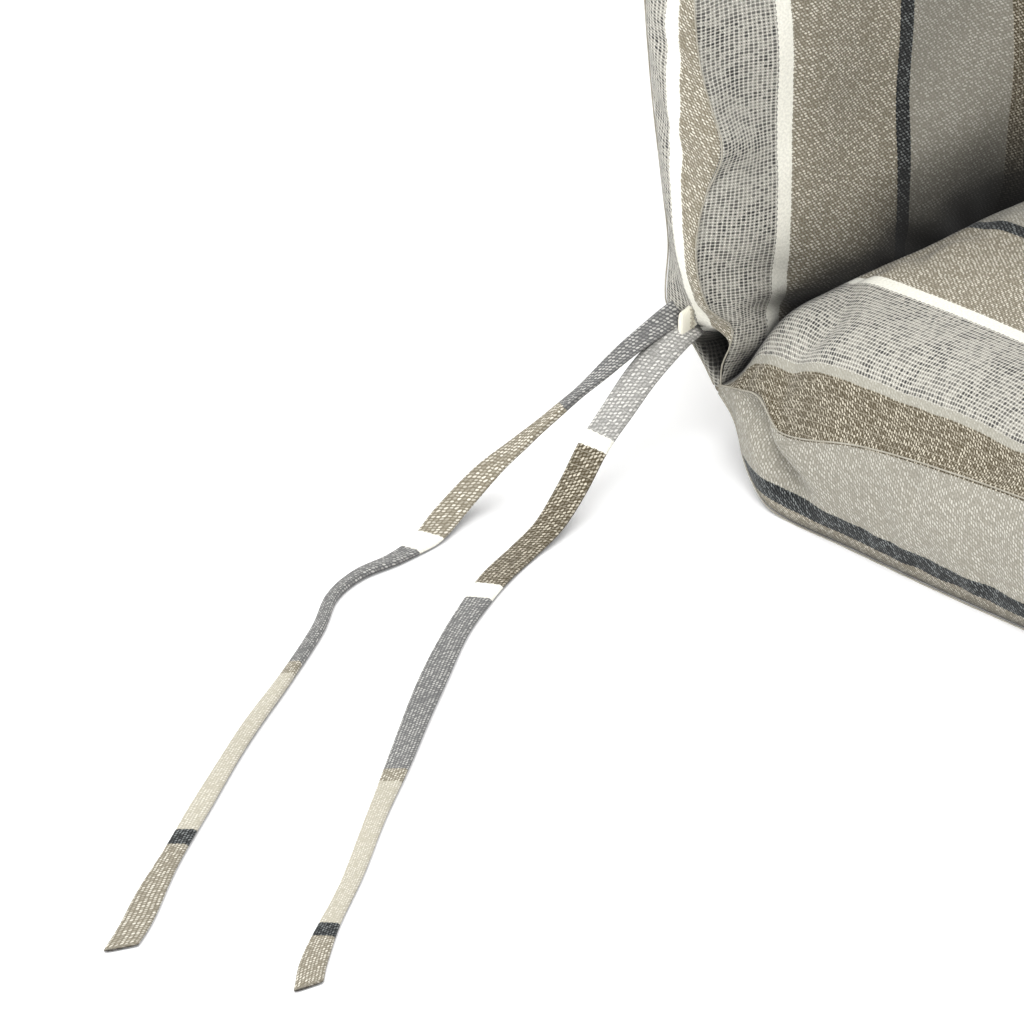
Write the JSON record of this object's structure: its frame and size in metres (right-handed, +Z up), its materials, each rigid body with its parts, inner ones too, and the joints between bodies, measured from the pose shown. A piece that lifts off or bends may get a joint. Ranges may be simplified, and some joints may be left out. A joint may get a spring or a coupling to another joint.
{
  "type": "folding garden chair cushion",
  "caption": "Striped seat pad and back pad joined by one sewn fold, with tie tapes at the fold corner.",
  "frame": {"origin": "centre of the cushion's footprint on the surface it lies on, without the tie tapes", "axes": "+Z up; -Y from the fold towards the front edge of the seat pad; +X along the fold, to the right of someone looking at the front of the back pad"},
  "size_m": [0.9636, 0.5228, 0.5557],
  "materials": {
    "striped_cloth": "matte woven, striped grey, cream, tan, black and greige",
    "wadding": "matte fluffy",
    "foam": "matte open cell",
    "sewing_thread": "satin",
    "fold_cloth": "matte woven",
    "tie_cloth": "matte woven, in crosswise bands of the stripe colours"
  },
  "bodies": {
    "seat": {"seat_top_panel": "striped_cloth", "seat_underside_panel": "striped_cloth", "seat_wadding_front": "wadding", "seat_wadding_rear": "wadding", "seat_foam_core": "foam", "seat_boxing_left": "striped_cloth", "seat_boxing_right": "striped_cloth", "seat_boxing_end": "striped_cloth", "seat_seam_thread_front": "sewing_thread", "seat_seam_thread_rear": "sewing_thread", "fold_binding": "fold_cloth", "tie_rear_left": "tie_cloth", "tie_front_left": "tie_cloth"},
    "back": {"back_front_panel": "striped_cloth", "back_rear_panel": "striped_cloth", "back_wadding_front": "wadding", "back_wadding_rear": "wadding", "back_foam_core": "foam", "back_boxing_left": "striped_cloth", "back_boxing_right": "striped_cloth", "back_boxing_end": "striped_cloth", "back_seam_thread_front": "sewing_thread", "back_seam_thread_rear": "sewing_thread", "tie_tab_left": "tie_cloth", "tie_tab_right": "tie_cloth", "bartack_left": "sewing_thread", "bartack_right": "sewing_thread"}
  },
  "joints": [
    {"name": "fold", "type": "hinge", "parent": "seat", "child": "back", "pos_m": [0, 0.2264, 0.034], "axis": [1, 0, 0], "range_deg": [-90, 0]}
  ]
}
